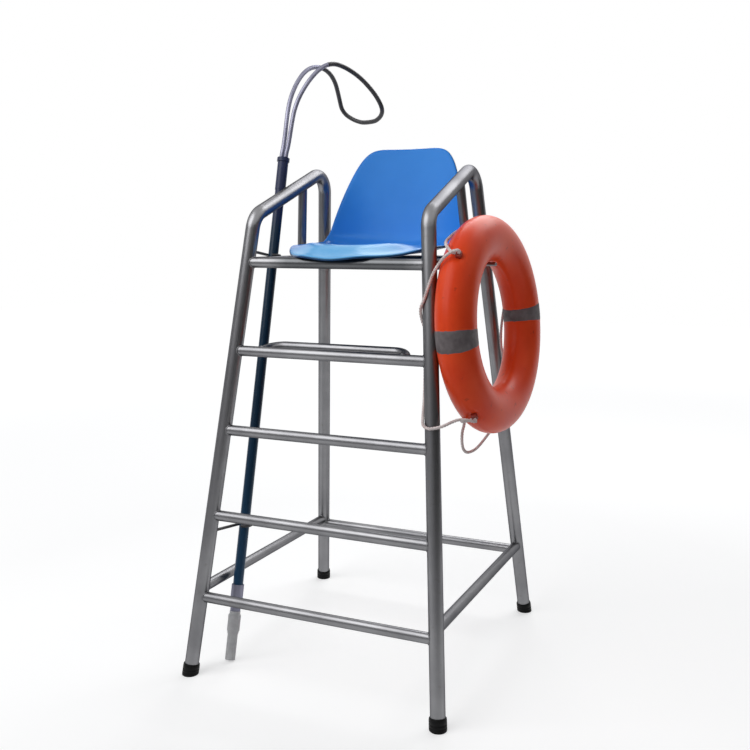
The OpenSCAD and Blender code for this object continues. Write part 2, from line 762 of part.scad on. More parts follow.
// a wire hook that reaches from the front leg and curls round the pole
module pole_hook(z_leg, z_pole) {
    spot = pole_at(z_pole);
    reach = front_pt(-1, z_leg) - spot;
    loop_r = pole_d / 2 + hook_wire / 2 + fit_gap;
    aim = unit(reach);
    n = unit(pole_dir - (pole_dir * aim) * aim);
    m = cross(n, aim);
    swing = asin(loop_r / norm(reach));
    x = cos(swing) * aim + sin(swing) * m;
    y = cross(n, x);
    color(steel)
        difference() {
            multmatrix([
                [x[0], y[0], n[0], spot[0]],
                [x[1], y[1], n[1], spot[1]],
                [x[2], y[2], n[2], spot[2]],
                [0, 0, 0, 1]]) {
                translate([0, -loop_r, 0])
                    rotate([0, 90, 0])
                        cylinder(h = norm(reach) * cos(swing), d = hook_wire);
                mirror([1, 0, 0])
                    rotate([0, 0, -90])
                        rotate_extrude(angle = hook_curl, $fn = 96)
                            translate([loop_r, 0])
                                circle(d = hook_wire);
            }
            leg_space(-1, 0, leg_d + 2 * weld_gap);
        }
}

module pole_lower_hook() {
    pole_hook(lower_hook_z, lower_hook_z - hook_drop);
}

module pole_upper_hook() {
    pole_hook(upper_hook_z, upper_hook_z - hook_drop);
}

module place() {
    translate([-origin_x, 0, 0])
        children();
}

place() front_leg(-1);  // left_front_leg
place() armrest(-1);  // left_armrest
place() rear_leg(-1);  // left_rear_leg
place() front_leg(1);  // right_front_leg
place() armrest(1);  // right_armrest
place() rear_leg(1);  // right_rear_leg
place() cross_rung(rung_1_z, 0);  // rung_1
place() cross_rung(rung_2_z, 0);  // rung_2
place() cross_rung(rung_3_z, 0);  // rung_3
place() cross_rung(rung_4_z, 0);  // rung_4
place() cross_rung(seat_bar_z, 0);  // seat_bar
place() footrest();
place() side_rail(-1, side_rail_front_z, side_rail_rear_z);  // left_lower_rail
place() side_rail(1, side_rail_front_z, side_rail_rear_z);  // right_lower_rail
place() cross_rung(rear_rail_z, 1);  // rear_lower_rail
place() seat_rail(-1);  // left_seat_rail
place() seat_rail(1);  // right_seat_rail
place() cross_rung(seat_bar_z, 1);  // rear_seat_bar
place() cross_bar();  // seat_cross_bar
place() arm_strut(-1);  // left_arm_strut
place() arm_strut(1);  // right_arm_strut
place() foot(-1, 0);  // left_front_foot
place() foot(-1, 1);  // left_rear_foot
place() foot(1, 0);  // right_front_foot
place() foot(1, 1);  // right_rear_foot
place() seat_shell();
place() ring_body();
place() ring_band(180);  // ring_band_front
place() ring_band(0);  // ring_band_rear
place() ring_clip(0);  // ring_clip_1
place() ring_clip(1);  // ring_clip_2
place() ring_clip(2);  // ring_clip_3
place() ring_clip(3);  // ring_clip_4
place() rope_front();
place() rope_bottom();
place() rope_rear();
place() rope_top();
place() ring_hook();
place() pole_tip();
place() pole_grip();
place() pole_collar();
place() pole_tube();
place() pole_sleeve();
place() pole_crook();
place() pole_lower_hook();
place() pole_upper_hook();
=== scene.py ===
"""Lifeguard chair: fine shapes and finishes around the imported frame. Metres, +Z up, front -Y."""
import json
import math

import bmesh
import bpy
import numpy as np
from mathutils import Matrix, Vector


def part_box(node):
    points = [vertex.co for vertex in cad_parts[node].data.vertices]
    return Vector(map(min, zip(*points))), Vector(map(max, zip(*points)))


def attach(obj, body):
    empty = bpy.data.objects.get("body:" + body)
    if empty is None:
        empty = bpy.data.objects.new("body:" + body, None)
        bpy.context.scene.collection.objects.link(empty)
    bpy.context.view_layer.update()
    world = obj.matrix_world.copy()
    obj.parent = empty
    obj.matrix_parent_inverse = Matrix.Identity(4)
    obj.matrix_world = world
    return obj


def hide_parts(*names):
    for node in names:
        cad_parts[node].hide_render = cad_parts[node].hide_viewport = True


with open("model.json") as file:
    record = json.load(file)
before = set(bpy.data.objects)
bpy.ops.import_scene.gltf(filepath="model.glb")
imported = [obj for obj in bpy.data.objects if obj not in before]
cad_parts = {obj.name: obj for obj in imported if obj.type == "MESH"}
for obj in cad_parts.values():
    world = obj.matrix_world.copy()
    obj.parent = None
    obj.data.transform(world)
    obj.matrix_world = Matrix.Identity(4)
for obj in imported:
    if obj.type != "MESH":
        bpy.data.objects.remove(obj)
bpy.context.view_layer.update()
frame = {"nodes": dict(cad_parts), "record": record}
UP = np.array([0.0, 0.0, 1.0])
TURN = 2.0 * math.pi

# ---------------------------------------------------------------- camera
EYE = (1.3959, -3.1699, 1.5773)
EYE_TURN = (math.radians(81.5), 0.0, math.radians(24.07))
LENS, SENSOR = 44.62, 36.0

eye = bpy.data.cameras.new("eye")
eye.lens, eye.sensor_width = LENS, SENSOR
eye_object = bpy.data.objects.new("eye", eye)
eye_object.location, eye_object.rotation_euler = EYE, EYE_TURN
bpy.context.collection.objects.link(eye_object)
bpy.context.scene.camera = eye_object


# ---------------------------------------------------------------- shape tools
def unit(v):
    """A vector, or each vector of an array, divided by its length."""
    v = np.asarray(v, float)
    return v / np.linalg.norm(v, axis=-1, keepdims=True)


def ease(t):
    """0 before 0, 1 after 1, and a smooth step between."""
    c = np.clip(t, 0.0, 1.0)
    return c * c * (3.0 - 2.0 * c)


def bent(v, power):
    """v raised to a power with its sign kept."""
    return np.sign(v) * np.abs(v) ** power


def around(steps):
    """Evenly spaced angles of one full turn."""
    return np.linspace(0.0, TURN, steps, endpoint=False)


def skin(points, close_rows=False, close_columns=True, caps=False):
    """Points and faces of a grid surface [rows, columns, xyz]; caps close its first and last row."""
    rows, columns = points.shape[:2]
    index = np.arange(rows * columns).reshape(rows, columns)
    first, last = index[0], index[-1]
    if close_rows:
        index = np.vstack([index, index[:1]])
    if close_columns:
        index = np.hstack([index, index[:, :1]])
    corners = np.stack([index[:-1, :-1], index[:-1, 1:], index[1:, 1:], index[1:, :-1]], -1)
    faces = corners.reshape(-1, 4).tolist()
    if caps:
        faces += [first[::-1].tolist(), last.tolist()]
    return points.reshape(-1, 3), faces


def mesh_piece(name, skins):
    """One object from several skins, its faces all turned outwards."""
    points = np.vstack([own for own, _ in skins])
    starts = np.cumsum([0] + [len(own) for own, _ in skins])
    faces = [[corner + start for corner in face]
             for (_, part), start in zip(skins, starts.tolist()) for face in part]
    mesh = bpy.data.meshes.new(name)
    mesh.from_pydata(points.tolist(), [], faces)
    shape = bmesh.new()
    shape.from_mesh(mesh)
    bmesh.ops.recalc_face_normals(shape, faces=shape.faces)
    shape.to_mesh(mesh)
    shape.free()
    mesh.shade_smooth()
    piece = bpy.data.objects.new(name, mesh)
    bpy.context.collection.objects.link(piece)
    return piece


dressed = []


def part_piece(name, skins, slot_name, *nodes):
    """A piece of the chair in the finish of its slot, shown in place of the nodes."""
    piece = mesh_piece(name, skins)
    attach(piece, "root")
    if nodes:
        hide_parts(*nodes)
    dressed.append((piece, slot_name))
    return piece


def sides_along(path):
    """Tangents of a path and two side vectors at each point, turned as little as possible."""
    tangent = unit(np.gradient(path, axis=0))
    side = np.zeros_like(path)
    across = np.cross(tangent[0], UP)
    side[0] = unit(across if np.linalg.norm(across) > 0.05 else np.cross(tangent[0], [1, 0, 0]))
    for i in range(1, len(path)):
        side[i] = unit(side[i - 1] - side[i - 1] @ tangent[i] * tangent[i])
    return tangent, side, np.cross(tangent, side)


def tube(path, radius, columns=24):
    """Circles round a path. radius is one number, one a row, or one for each row and column."""
    _, side, other = sides_along(path)
    angle = around(columns)[None, :, None]
    radius = np.asarray(radius, float)
    radius = radius.reshape(radius.shape + (1,) * (3 - radius.ndim))
    return path[:, None] + radius * (np.cos(angle) * side[:, None] + np.sin(angle) * other[:, None])


def smooth_path(points, step):
    """A curve through the points by their neighbours' slopes, in even steps of its length."""
    points = np.asarray(points, float)
    ends = np.vstack([2 * points[0] - points[1], points, 2 * points[-1] - points[-2]])
    a, b, c, d = (ends[i:len(ends) - 3 + i, None] for i in range(4))
    t = np.linspace(0.0, 1.0, 17)[None, :-1, None]
    curve = 0.5 * (2 * b + (c - a) * t + (2 * a - 5 * b + 4 * c - d) * t ** 2
                   + (3 * b - a - 3 * c + d) * t ** 3)
    curve = np.vstack([curve.reshape(-1, 3), points[-1:]])
    run = np.concatenate([[0.0], np.cumsum(np.linalg.norm(np.diff(curve, axis=0), axis=1))])
    even = np.linspace(0.0, run[-1], max(2, int(run[-1] / step) + 1))
    return np.stack([np.interp(even, run, curve[:, k]) for k in range(3)], -1)


def pillow(middle, axes, halves, hardness=0.35, columns=40, rows=21):
    """Rounded block: a ball whose sines and cosines are raised to a power, so its faces flatten."""
    rise = np.linspace(-0.497, 0.497, rows)[:, None] * math.pi
    angle = around(columns)[None]
    flat = bent(np.cos(rise), hardness)
    reach = (flat * bent(np.cos(angle), hardness), flat * bent(np.sin(angle), hardness),
             bent(np.sin(rise), hardness) * np.ones_like(angle))
    points = sum(r[..., None] * half * np.asarray(axis) for r, half, axis in
                 zip(reach, halves, axes))
    return skin(np.asarray(middle) + points, caps=True)


# ---------------------------------------------------------------- the solids' main lines
seat_low, seat_high = (np.array(corner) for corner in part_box("seat_shell"))
MID_X = (seat_low[0] + seat_high[0]) / 2
HALF_BASE, HALF_TOP, LINE_TOP = 0.480, 0.3455, 1.5
FRONT_FOOT_Y, FRONT_TOP_Y = -0.531, -0.292
REAR_FOOT_Y, REAR_TOP_Y = 0.531, 0.304
LEG_D, BAR_D = 0.0508, 0.038
SEAT_BAR_Z = 1.484


def leg_at(side, end, z):
    """Middle of a leg at height z; side -1 is left and 1 right, end -1 front and 1 rear."""
    share = z / LINE_TOP
    x = HALF_BASE + (HALF_TOP - HALF_BASE) * share
    foot_y, top_y = (FRONT_FOOT_Y, FRONT_TOP_Y) if end < 0 else (REAR_FOOT_Y, REAR_TOP_Y)
    return np.array([MID_X + side * x, foot_y + (top_y - foot_y) * share, z])


# ---------------------------------------------------------------- ring and grab rope
ring_low, ring_high = (np.array(corner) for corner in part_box("ring_body"))
RING_MIDDLE = (ring_low + ring_high) / 2
RING_TURN = math.radians(5.2)
RING_LEAN = math.atan((HALF_BASE - HALF_TOP) / LINE_TOP)
RING_AXIS = np.array([math.cos(RING_TURN) * math.cos(RING_LEAN),
                      -math.sin(RING_TURN) * math.cos(RING_LEAN), math.sin(RING_LEAN)])
RING_REAR = np.array([math.sin(RING_TURN), math.cos(RING_TURN), 0.0])
RING_TOP = np.cross(RING_AXIS, RING_REAR)
RING_ROLL = 4.0
RING_R, RING_HALF_R, RING_HALF_T = 0.2995, 0.0805, 0.066
CLIP_ANGLES = [angle + RING_ROLL for angle in (135.0, 45.0, -45.0, -135.0)]
CLIP_TILTS = [18.0, -12.0, -12.0, 18.0]
CLIP_WIDTH, CLIP_LENGTH, CLIP_HEIGHT, CLIP_SUNK = 0.020, 0.024, 0.009, 0.004
ROPE_D, ROPE_LIFT, ROPE_MEET, ROPE_STUB = 0.011, 0.003, 0.0002, 0.012


def ring_ways(angle, tilt):
    """Outward and forward-along vectors on the ring at an angle along it and one round its section."""
    a, s = np.radians(angle)[..., None], np.radians(tilt)[..., None]
    spoke = np.cos(a) * RING_REAR + np.sin(a) * RING_TOP
    along = np.cos(a) * RING_TOP - np.sin(a) * RING_REAR
    out = unit(np.cos(s) / RING_HALF_R * spoke + np.sin(s) / RING_HALF_T * RING_AXIS)
    return spoke, along, out


def on_ring(angle, tilt, lift=0.0):
    """Points on the ring's oval section swept round its circle, lifted off its surface."""
    angle, tilt, lift = np.broadcast_arrays(*(np.asarray(v, float) for v in (angle, tilt, lift)))
    spoke, _, out = ring_ways(angle, tilt)
    s = np.radians(tilt)[..., None]
    return (RING_MIDDLE + (RING_R + RING_HALF_R * np.cos(s)) * spoke
            + RING_HALF_T * np.sin(s) * RING_AXIS + lift[..., None] * out)


def clip_frame(k):
    """Across, along and outward vectors of clip k, and its foot on the ring."""
    _, along, out = ring_ways(np.array(CLIP_ANGLES[k]), np.array(CLIP_TILTS[k]))
    return np.cross(out, along), along, out, on_ring(CLIP_ANGLES[k], CLIP_TILTS[k])


def clip_top(k, past):
    """A point out from the clip's top, past its face; the next two are off its side and its end."""
    _, _, out, foot = clip_frame(k)
    return foot + (CLIP_HEIGHT + past) * out


def clip_side(k, past):
    across, _, out, foot = clip_frame(k)
    return foot + (CLIP_HEIGHT / 2 + ROPE_LIFT) * out - (CLIP_WIDTH / 2 + past) * across


def clip_end(k, past):
    _, along, out, foot = clip_frame(k)
    return foot + (CLIP_HEIGHT / 2 + ROPE_LIFT) * out - (CLIP_LENGTH / 2 + past) * along


def middle_spot(x, y, z):
    """A point given from the chair's middle plane, moved to the frame."""
    return np.array([MID_X + x, y, z])


def spots(*points):
    return [middle_spot(*point) for point in points]


ROPE_ROUTES = {
    "rope_front": [clip_top(0, ROPE_MEET), clip_top(0, ROPE_STUB)] + spots(
        (0.452, -0.345, 1.532), (0.434, -0.346, 1.524), (0.414, -0.345, 1.508),
        (0.394, -0.345, 1.483), (0.376, -0.344, 1.452), (0.362, -0.343, 1.415),
        (0.349, -0.343, 1.378), (0.333, -0.335, 1.342), (0.331, -0.320, 1.308),
        (0.338, -0.310, 1.272), (0.342, -0.316, 1.220), (0.347, -0.327, 1.150),
        (0.351, -0.340, 1.080), (0.354, -0.352, 1.034), (0.359, -0.374, 0.994),
        (0.370, -0.400, 0.970), (0.392, -0.412, 0.962), (0.414, -0.406, 0.964),
        (0.436, -0.392, 0.970), (0.456, -0.372, 0.980), (0.474, -0.350, 0.986),
        (0.494, -0.332, 0.984)) + [clip_top(3, ROPE_STUB), clip_top(3, ROPE_MEET)],
    "rope_bottom": [clip_side(3, ROPE_MEET), clip_side(3, ROPE_STUB), on_ring(-127, -25, 0.009),
                    on_ring(-121, -50, 0.010)] + spots(
        (0.436, -0.180, 0.940), (0.436, -0.198, 0.912), (0.436, -0.201, 0.882),
        (0.437, -0.188, 0.852), (0.438, -0.150, 0.832), (0.440, -0.092, 0.825),
        (0.442, -0.040, 0.828), (0.444, 0.020, 0.840), (0.448, 0.080, 0.858),
        (0.458, 0.135, 0.882), (0.476, 0.180, 0.914)) + [
        on_ring(-51, -18, 0.012), clip_end(2, ROPE_STUB), clip_end(2, ROPE_MEET)],
    "rope_rear": [clip_side(2, ROPE_MEET), clip_side(2, ROPE_STUB), on_ring(-39, -40, 0.010)]
    + spots(
        (0.436, 0.300, 1.070), (0.434, 0.287, 1.118), (0.433, 0.264, 1.155),
        (0.433, 0.255, 1.192), (0.433, 0.257, 1.225), (0.433, 0.268, 1.260),
        (0.434, 0.286, 1.310), (0.434, 0.290, 1.370), (0.433, 0.275, 1.430)) + [
        on_ring(38, -48, 0.012), clip_end(1, ROPE_STUB), clip_end(1, ROPE_MEET)],
    "rope_top": [clip_side(1, ROPE_MEET), clip_side(1, ROPE_STUB)] + [
        on_ring(angle, tilt, lift) for angle, tilt, lift in (
            (51, -40, 0.010), (58, -55, 0.010), (68, -60, 0.010), (80, -62, 0.010),
            (92, -62, 0.010), (104, -62, 0.010), (116, -58, 0.010), (126, -45, 0.010),
            (134, -20, 0.009))] + [clip_side(0, ROPE_STUB), clip_side(0, ROPE_MEET)],
}
ROPE_STEP, ROPE_LAY = 0.0022, 0.030
STRAND_R, STRAND_OUT = 0.52 * ROPE_D / 2, 0.48 * ROPE_D / 2


def rope_skin(path):
    """Three strands laid round a path: the section's three lobes turn once in each lay."""
    turned = around(30)[None] - TURN * ROPE_STEP / ROPE_LAY * np.arange(len(path))[:, None]
    off = (turned + math.pi / 3) % (TURN / 3) - math.pi / 3
    radius = STRAND_OUT * np.cos(off) + np.sqrt(STRAND_R ** 2 - (STRAND_OUT * np.sin(off)) ** 2)
    return skin(tube(path, radius, 30), caps=True)


for node, route in ROPE_ROUTES.items():
    path = smooth_path(route, ROPE_STEP)
    rope = part_piece("laid_" + node, [rope_skin(path)], "rope", node)


SEAM_DEPTH, SEAM_TILT = 0.0012, 2.2
DENT_DEPTH, DENT_LENGTH, DENT_WIDTH = 0.0055, 0.021, 0.018


def ring_body():
    """The oval section swept round: a moulding seam runs round its rim, and a dent lies at each clip."""
    angle, tilt = np.linspace(0, 360, 300, endpoint=False)[:, None], np.linspace(
        0, 360, 96, endpoint=False)[None]
    from_seam = (tilt + 90.0) % 180.0 - 90.0
    lift = -SEAM_DEPTH * np.exp(-(from_seam / SEAM_TILT) ** 2) + np.zeros_like(angle)
    for clip_angle, clip_tilt in zip(CLIP_ANGLES, CLIP_TILTS):
        along = ((angle - clip_angle + 180.0) % 360.0 - 180.0) * math.radians(RING_R + RING_HALF_R)
        across = ((tilt - clip_tilt + 180.0) % 360.0 - 180.0) * math.radians(RING_HALF_T)
        lift = lift - DENT_DEPTH * np.exp(-((along / DENT_LENGTH) ** 4 + (across / DENT_WIDTH) ** 4))
    return part_piece("ring_shell", [skin(on_ring(angle, tilt, lift), close_rows=True)], "ring",
                      "ring_body")


BAND_HALF, BAND_THICK, BAND_SUNK = 6.0, 0.0012, 0.0004


def ring_band(node, angle):
    """A tape wound once round the section, with thin rounded edges and a slightly wavy width."""
    share, tilt = np.linspace(-1, 1, 25)[:, None], np.linspace(0, 360, 96, endpoint=False)[None]
    wave = 0.12 * np.sin(np.radians(tilt) * 5 + angle) + 0.07 * np.sin(np.radians(tilt) * 13)
    lift = BAND_THICK * (1 - np.abs(share) ** 12) - BAND_SUNK + np.zeros_like(tilt)
    points = on_ring(angle + RING_ROLL + share * (BAND_HALF - 0.25 + wave), tilt, lift)
    return part_piece("wound_" + node, [skin(points)], "tape", node)


def ring_clip(k):
    """A moulded lug: a rounded block whose foot is sunk a little into the ring."""
    across, along, out, foot = clip_frame(k)
    lug = pillow(foot + (CLIP_HEIGHT / 2 - CLIP_SUNK) * out, (across, along, out),
                 (CLIP_WIDTH / 2, CLIP_LENGTH / 2, CLIP_HEIGHT / 2 + CLIP_SUNK), 0.4)
    return part_piece("lug_%d" % (k + 1), [lug], "clip", "ring_clip_%d" % (k + 1))


ring_body()
ring_band("ring_band_front", 180.0)
ring_band("ring_band_rear", 0.0)
for k in range(4):
    ring_clip(k)


# ---------------------------------------------------------------- seat
SEAT_FRONT_Y, SEAT_TOP_Z, SEAT_HALF_W = -0.345, SEAT_BAR_Z + 0.0254, 0.297
PAN_LEN, TURN_R, BACK_LEAN, BACK_LEN, SHELL_T = 0.531, 0.110, math.radians(15.6), 0.349, 0.006
RIM_DROP, RIM_WIDTH = 0.012, 0.022
PAN_CURL, BACK_CURL, TOP_CURL, BACK_TAPER = 0.038, 0.060, 0.028, 0.086
LIP_LIFT, LIP_RISE, LIP_MID, LIP_REACH = -0.0032, 0.0095, 0.60, 0.158
CREST_H, CREST_WIDTH, CREST_AT, CREST_FADE = 0.0375, 0.36, 0.16, 0.22
CURL_START, CURL_POWER, TAPER_FROM, TAPER_POWER = 0.55, 2.0, 0.593, 1.06
FRONT_POWER, BACK_POWER, FRONT_TAPER, MID_Q = 2.76, 6.8, 0.080, 0.336
BACK_TURN = math.pi / 2 - BACK_LEAN
ARC_LEN = TURN_R * BACK_TURN
SHEET_LEN = PAN_LEN + ARC_LEN + BACK_LEN


def seat_side(q):
    """Half the flat sheet's full width at a distance q from its front edge."""
    past = np.clip((q - TAPER_FROM) / (SHEET_LEN - TAPER_FROM), 0, None)
    return (SEAT_HALF_W - BACK_TAPER * past ** TAPER_POWER
            - FRONT_TAPER * (1 - ease(q / MID_Q)))


def seat_edge(angle, inset):
    """Outline of the flat sheet: half a rounded oval to the front, half a near rectangle behind."""
    front = np.sin(angle) < 0
    power = np.where(front, FRONT_POWER, BACK_POWER)
    reach = np.where(front, MID_Q, SHEET_LEN - MID_Q) - inset
    q = MID_Q + reach * bent(np.sin(angle), 2 / power)
    return (seat_side(q) - inset) * bent(np.cos(angle), 2 / power), q


def seat_curl(q):
    """How far the side edges curl towards the sitter at a distance q from the front edge."""
    pan = (PAN_CURL * ease(q / (CURL_START * PAN_LEN))
           + (BACK_CURL - PAN_CURL) * ease(q / PAN_LEN - 0.5))
    back = (BACK_CURL + (TOP_CURL - BACK_CURL) * ease((q - PAN_LEN - ARC_LEN) / BACK_LEN)
            - (BACK_CURL - PAN_CURL) / 2 * (1 - ease((q - PAN_LEN) / ARC_LEN)))
    return np.where(q < PAN_LEN, pan, back)


def seat_point(x, q, drop):
    """The flat sheet bent up in an arc into the back, at a drop off its top face: its edges
    curl, its front rim sinks and rises with the lip, and a low crest follows the front outline."""
    bend = np.clip((q - PAN_LEN) / ARC_LEN, 0, 1) * BACK_TURN
    past = np.clip(q - PAN_LEN - ARC_LEN, 0, None)
    y = SEAT_FRONT_Y + np.minimum(q, PAN_LEN) + TURN_R * np.sin(bend) + past * math.cos(BACK_TURN)
    z = SEAT_TOP_Z + TURN_R * (1 - np.cos(bend)) + past * math.sin(BACK_TURN)
    out = np.minimum(1.05, np.abs(x) / seat_side(q))
    ahead = np.clip(1 - q / MID_Q, 0, None)
    near = (out ** FRONT_POWER + ahead ** FRONT_POWER) ** (1 / FRONT_POWER)
    lip = ((LIP_LIFT + LIP_RISE * ease(out / LIP_MID)) * (1 - ease(q / LIP_REACH))
           + CREST_H * ease((1 - near) / CREST_WIDTH) * (1 - ease((q - CREST_AT) / CREST_FADE)))
    lift = seat_curl(q) * out ** CURL_POWER + lip - drop
    return np.stack([MID_X + x, y - np.sin(bend) * lift, z + np.cos(bend) * lift], -1)


def seat_shell():
    """Rows from the middle of the top out, round the turned-down rim, and back under the shell.
    The under_rim attribute rises from 0 to 1 where the rim turns under, and masks the painted shade
    there."""
    angle = around(360)
    fill = np.linspace(0.02, 1.0, 40)
    rim = [(0.018, 0.0), (0.014, 0.0002), (0.011, 0.0005), (0.008, 0.0011), (0.0055, 0.0020),
           (0.0035, 0.0032), (0.0018, 0.0048), (0.0008, 0.0064), (0.0, 0.0092), (0.0001, 0.0108),
           (0.0008, 0.0117), (0.002, RIM_DROP), (0.0032, 0.0117), (0.0042, 0.0108), (0.0056, 0.0092),
           (0.0080, 0.0074), (0.011, 0.0066), (0.015, 0.0062)]
    rows = [(share, RIM_WIDTH, 0.0) for share in fill] + [(1.0, inset, drop) for inset, drop in rim]
    rows += [(share, RIM_WIDTH, SHELL_T) for share in fill[::-1]]
    grid = []
    for share, inset, drop in rows:
        x, q = seat_edge(angle, inset)
        grid.append(seat_point(share * x, MID_Q + share * (q - MID_Q), drop))
    piece = part_piece("seat_moulding", [skin(np.array(grid), caps=True)], "seat", "seat_shell")
    # Mask for the painted shade on the rim's underside.
    under = ease((np.array([drop for _, _, drop in rows]) - 0.0030) / 0.0040)
    layer = piece.data.attributes.new("under_rim", "FLOAT", "POINT")
    layer.data.foreach_set("value", np.repeat(under, len(angle)))
    return piece


seat_shell()

# ---------------------------------------------------------------- feet
FOOT_D, FOOT_H = 0.060, 0.041


def ribbed_foot(side, end):
    """A cap turned about the leg's line and cut flat by the floor, with two grooves and a soft top."""
    low, high = leg_at(side, end, 0.0), leg_at(side, end, 1.0)
    way = unit(high - low)
    u = unit(np.cross(way, [0.0, 1.0, 0.0]))
    v = np.cross(way, u)
    angle = around(72)[None, :, None]
    ray = np.cos(angle) * u + np.sin(angle) * v
    share = np.array([0, 0, 0.02, 0.05, 0.26, 0.29, 0.32, 0.35, 0.5, 0.53, 0.56, 0.59, 0.8, 0.9,
                      0.96, 0.99, 1, 1])
    width = np.array([0.9, 0.955, 0.985, 1, 1, 0.965, 0.965, 1, 1, 0.965, 0.965, 1, 0.995, 0.985,
                      0.965, 0.935, 0.9, 0.86])
    start = -(FOOT_D / 2 * ray[..., 2:]) * width[:, None, None] / way[2]
    rise = start + (FOOT_H - start) * share[:, None, None]
    points = low + rise * way + FOOT_D / 2 * width[:, None, None] * ray
    name = ("left" if side < 0 else "right") + ("_front_foot" if end < 0 else "_rear_foot")
    return part_piece("ribbed_" + name, [skin(points, caps=True)], "rubber", name)


for side in (-1, 1):
    for end in (-1, 1):
        ribbed_foot(side, end)

# ---------------------------------------------------------------- weld beads
BEAD_R, BEAD_SCALES = 0.0026, 44


def weld_bead(start, way, bar_r, axis, main_r):
    """The curve in which a bar leaves a round tube, as a rounded bead with the scales of its weld.

    Each point of the bar's circle slides along the bar until it is main_r from the tube's axis.
    """
    way, axis = unit(way), unit(axis)
    u = unit(np.cross(way, axis))
    v = np.cross(way, u)
    angle = around(132)[:, None]
    ray = np.cos(angle) * u + np.sin(angle) * v
    flat = bar_r * ray - (bar_r * ray @ axis)[:, None] * axis
    slide = way - (way @ axis) * axis
    a, b, c = slide @ slide, flat @ slide, (flat ** 2).sum(-1) - main_r ** 2
    run = (-b + np.sqrt(b * b - a * c)) / a
    line = start + bar_r * ray + run[:, None] * way
    size = BEAD_R * (1 + 0.10 * np.sin(angle * BEAD_SCALES))
    turn = around(10)[None, :, None]
    points = line[:, None] + size[:, None] * (np.cos(turn) * ray[:, None] + np.sin(turn) * way)
    return skin(points, close_rows=True)


def bar_welds(start, stop, bar_r, start_axis, stop_axis, main_r):
    """Beads at both ends of a bar between two tubes' middle points."""
    return [weld_bead(start, stop - start, bar_r, start_axis, main_r),
            weld_bead(stop, start - stop, bar_r, stop_axis, main_r)]


RUNG_HEIGHTS = (0.284, 0.580, 0.887, 1.171, SEAT_BAR_Z)
REAR_HEIGHTS = (0.280, SEAT_BAR_Z)


def leg_way(side, end):
    return leg_at(side, end, 1.0) - leg_at(side, end, 0.0)


beads = []
for end, heights in ((-1, RUNG_HEIGHTS), (1, REAR_HEIGHTS)):
    for z in heights:
        beads += bar_welds(leg_at(-1, end, z), leg_at(1, end, z), BAR_D / 2, leg_way(-1, end),
                           leg_way(1, end), LEG_D / 2)
for side in (-1, 1):
    for front_z, rear_z in ((0.314, 0.302), (SEAT_BAR_Z, SEAT_BAR_Z)):
        beads += bar_welds(leg_at(side, -1, front_z), leg_at(side, 1, rear_z), BAR_D / 2,
                           leg_way(side, -1), leg_way(side, 1), LEG_D / 2)
FOOTREST_Z, FOOTREST_HALF, FOOTREST_R = 1.171, 0.270, 0.017
FOOTREST_WAY = (0.0, 0.085, 0.014)
for side in (-1, 1):
    rung_y = leg_at(side, -1, FOOTREST_Z)[1]
    beads.append(weld_bead(middle_spot(side * FOOTREST_HALF, rung_y, FOOTREST_Z), FOOTREST_WAY,
                           FOOTREST_R, (1.0, 0.0, 0.0), BAR_D / 2))
part_piece("weld_beads", beads, "steel")

# ---------------------------------------------------------------- rescue pole and its crook
POLE_FOOT = middle_spot(-0.405, -0.385, 0.0)
POLE_REST = middle_spot(-0.3851, -0.055, SEAT_BAR_Z)
POLE_WAY = unit(POLE_REST - POLE_FOOT)
COLLAR_TOP_Z, TUBE_RUN, SLEEVE_RUN = 0.280, 1.508, 0.122
CROOK_TURN, CROOK_R, SHEATH_R = math.radians(69.0), 0.0084, 0.0090
CROOK_WAY = np.array([math.cos(CROOK_TURN), math.sin(CROOK_TURN), 0.0])
CROOK_SIDE = np.array([math.sin(CROOK_TURN), -math.cos(CROOK_TURN), 0.0])
CROOK_ROUTE = np.array([
    (0, 0.3, 13), (4, 20, 13), (12, 46, 14), (22, 91, 15), (31, 137, 17), (42, 183, 20),
    (61, 231, 26), (89, 277, 33), (119, 314, 39), (151, 343, 44), (187, 363, 47), (227, 371, 49),
    (267, 366, 52), (307, 350, 62), (343, 325, 77), (372, 294, 93), (395, 263, 106),
    (413, 234, 113), (431, 211, 107), (446, 194, 88), (456, 181, 60), (461, 174, 28)]) / 1000
SHEATH_FROM = {-1: 11, 1: 10}


def pole_at(z):
    """Middle of the pole at height z."""
    return POLE_FOOT + POLE_WAY * (z / POLE_WAY[2])


def crook_points(side):
    """The crook's middle line on one side, from the pole to the far end of the loop."""
    base = pole_at(COLLAR_TOP_Z + TUBE_RUN * POLE_WAY[2] + SLEEVE_RUN)
    along, height, spread = CROOK_ROUTE.T[:, :, None]
    return base + along * CROOK_WAY + height * UP + side * spread * CROOK_SIDE


loop_line = smooth_path(np.vstack([crook_points(-1), crook_points(1)[::-1]]), 0.004)
first, last = (int(((loop_line - crook_points(side)[SHEATH_FROM[side]]) ** 2).sum(-1).argmin())
               for side in (-1, 1))
sheath_line = loop_line[first:last + 1]
sheath_share = np.linspace(0, 1, len(sheath_line))
sheath_round = np.clip(np.minimum(sheath_share, 1 - sheath_share) / 0.004, 0, 1) ** 0.5
part_piece("crook_rod", [skin(tube(loop_line, CROOK_R), caps=True)], "alloy", "pole_crook")
part_piece("crook_sheath", [skin(tube(sheath_line, CROOK_R + (SHEATH_R - CROOK_R) * sheath_round),
                                 caps=True)], "hook")


# ---------------------------------------------------------------- shader maths
class Wire:
    """A value or colour in a material's nodes. Adding or multiplying it adds a Math node."""

    def __init__(self, board, socket):
        self.board, self.socket = board, socket

    def __add__(self, other):
        return self.board.maths("ADD", self, other)

    def __mul__(self, other):
        return self.board.maths("MULTIPLY", self, other)

    __radd__ = __add__
    __rmul__ = __mul__


